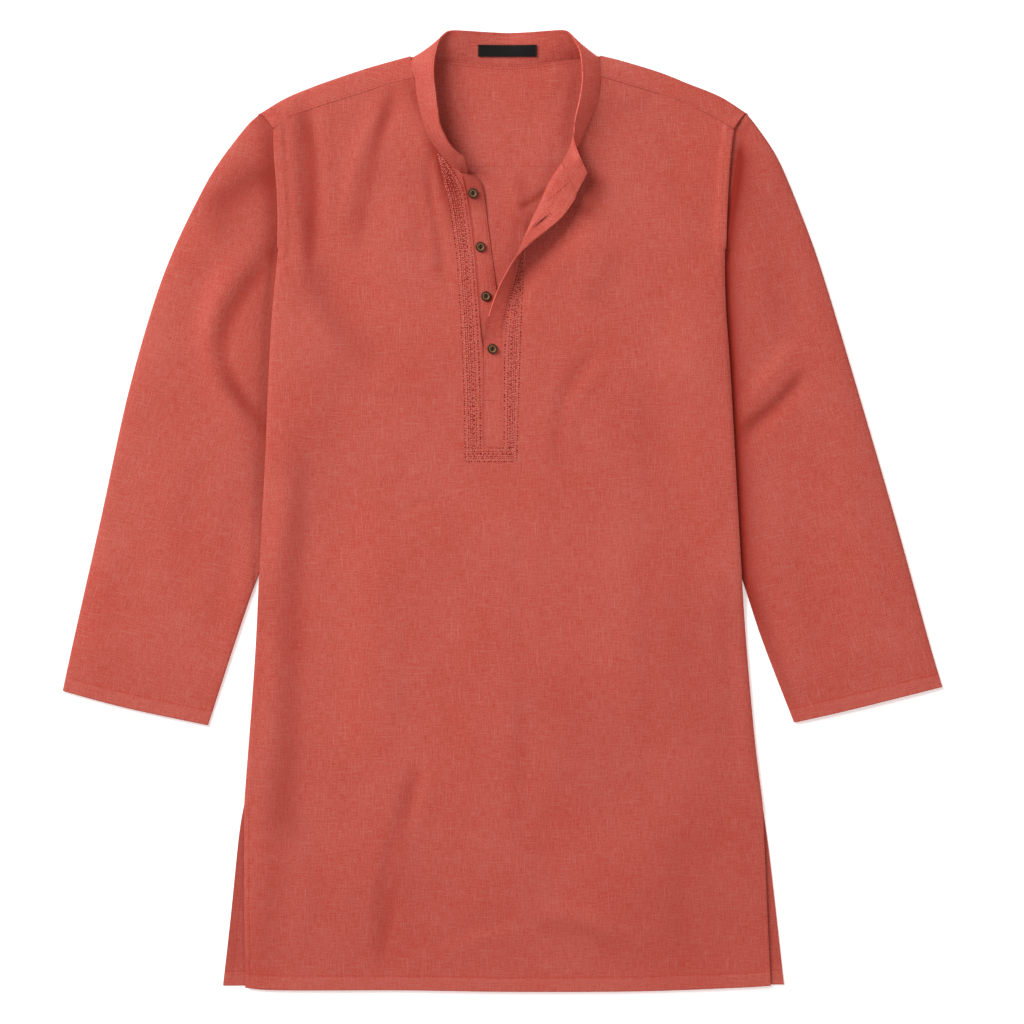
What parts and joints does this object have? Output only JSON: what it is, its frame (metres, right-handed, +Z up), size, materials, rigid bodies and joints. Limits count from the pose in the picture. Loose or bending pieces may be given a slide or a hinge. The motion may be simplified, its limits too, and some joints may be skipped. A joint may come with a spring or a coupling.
{
  "type": "kurta tunic laid flat",
  "caption": "Long-sleeved band-collar tunic laid flat with its front up, half placket open at the neck, side vents and a wider back.",
  "frame": {"origin": "centre of the bounding box on the surface that the garment lies on", "axes": "+X towards the wearer's left sleeve, +Y from the hem to the collar, +Z up from the surface, out of the garment's front"},
  "size_m": [0.881, 0.961, 0.0287],
  "materials": {
    "coral_linen": "plain-woven linen, matt, coral red",
    "dark_horn": "dark brown horn look, half gloss",
    "black_satin": "black woven satin tape"
  },
  "bodies": {
    "root": {"front_panel": "coral_linen", "back_panel": "coral_linen", "yoke": "coral_linen", "sleeve_right": "coral_linen", "sleeve_left": "coral_linen", "collar_band": "coral_linen", "button_stand": "coral_linen", "buttonhole_strip": "coral_linen", "button_1": "dark_horn", "button_2": "dark_horn", "button_3": "dark_horn", "button_4": "dark_horn", "neck_label": "black_satin"}
  },
  "joints": []
}
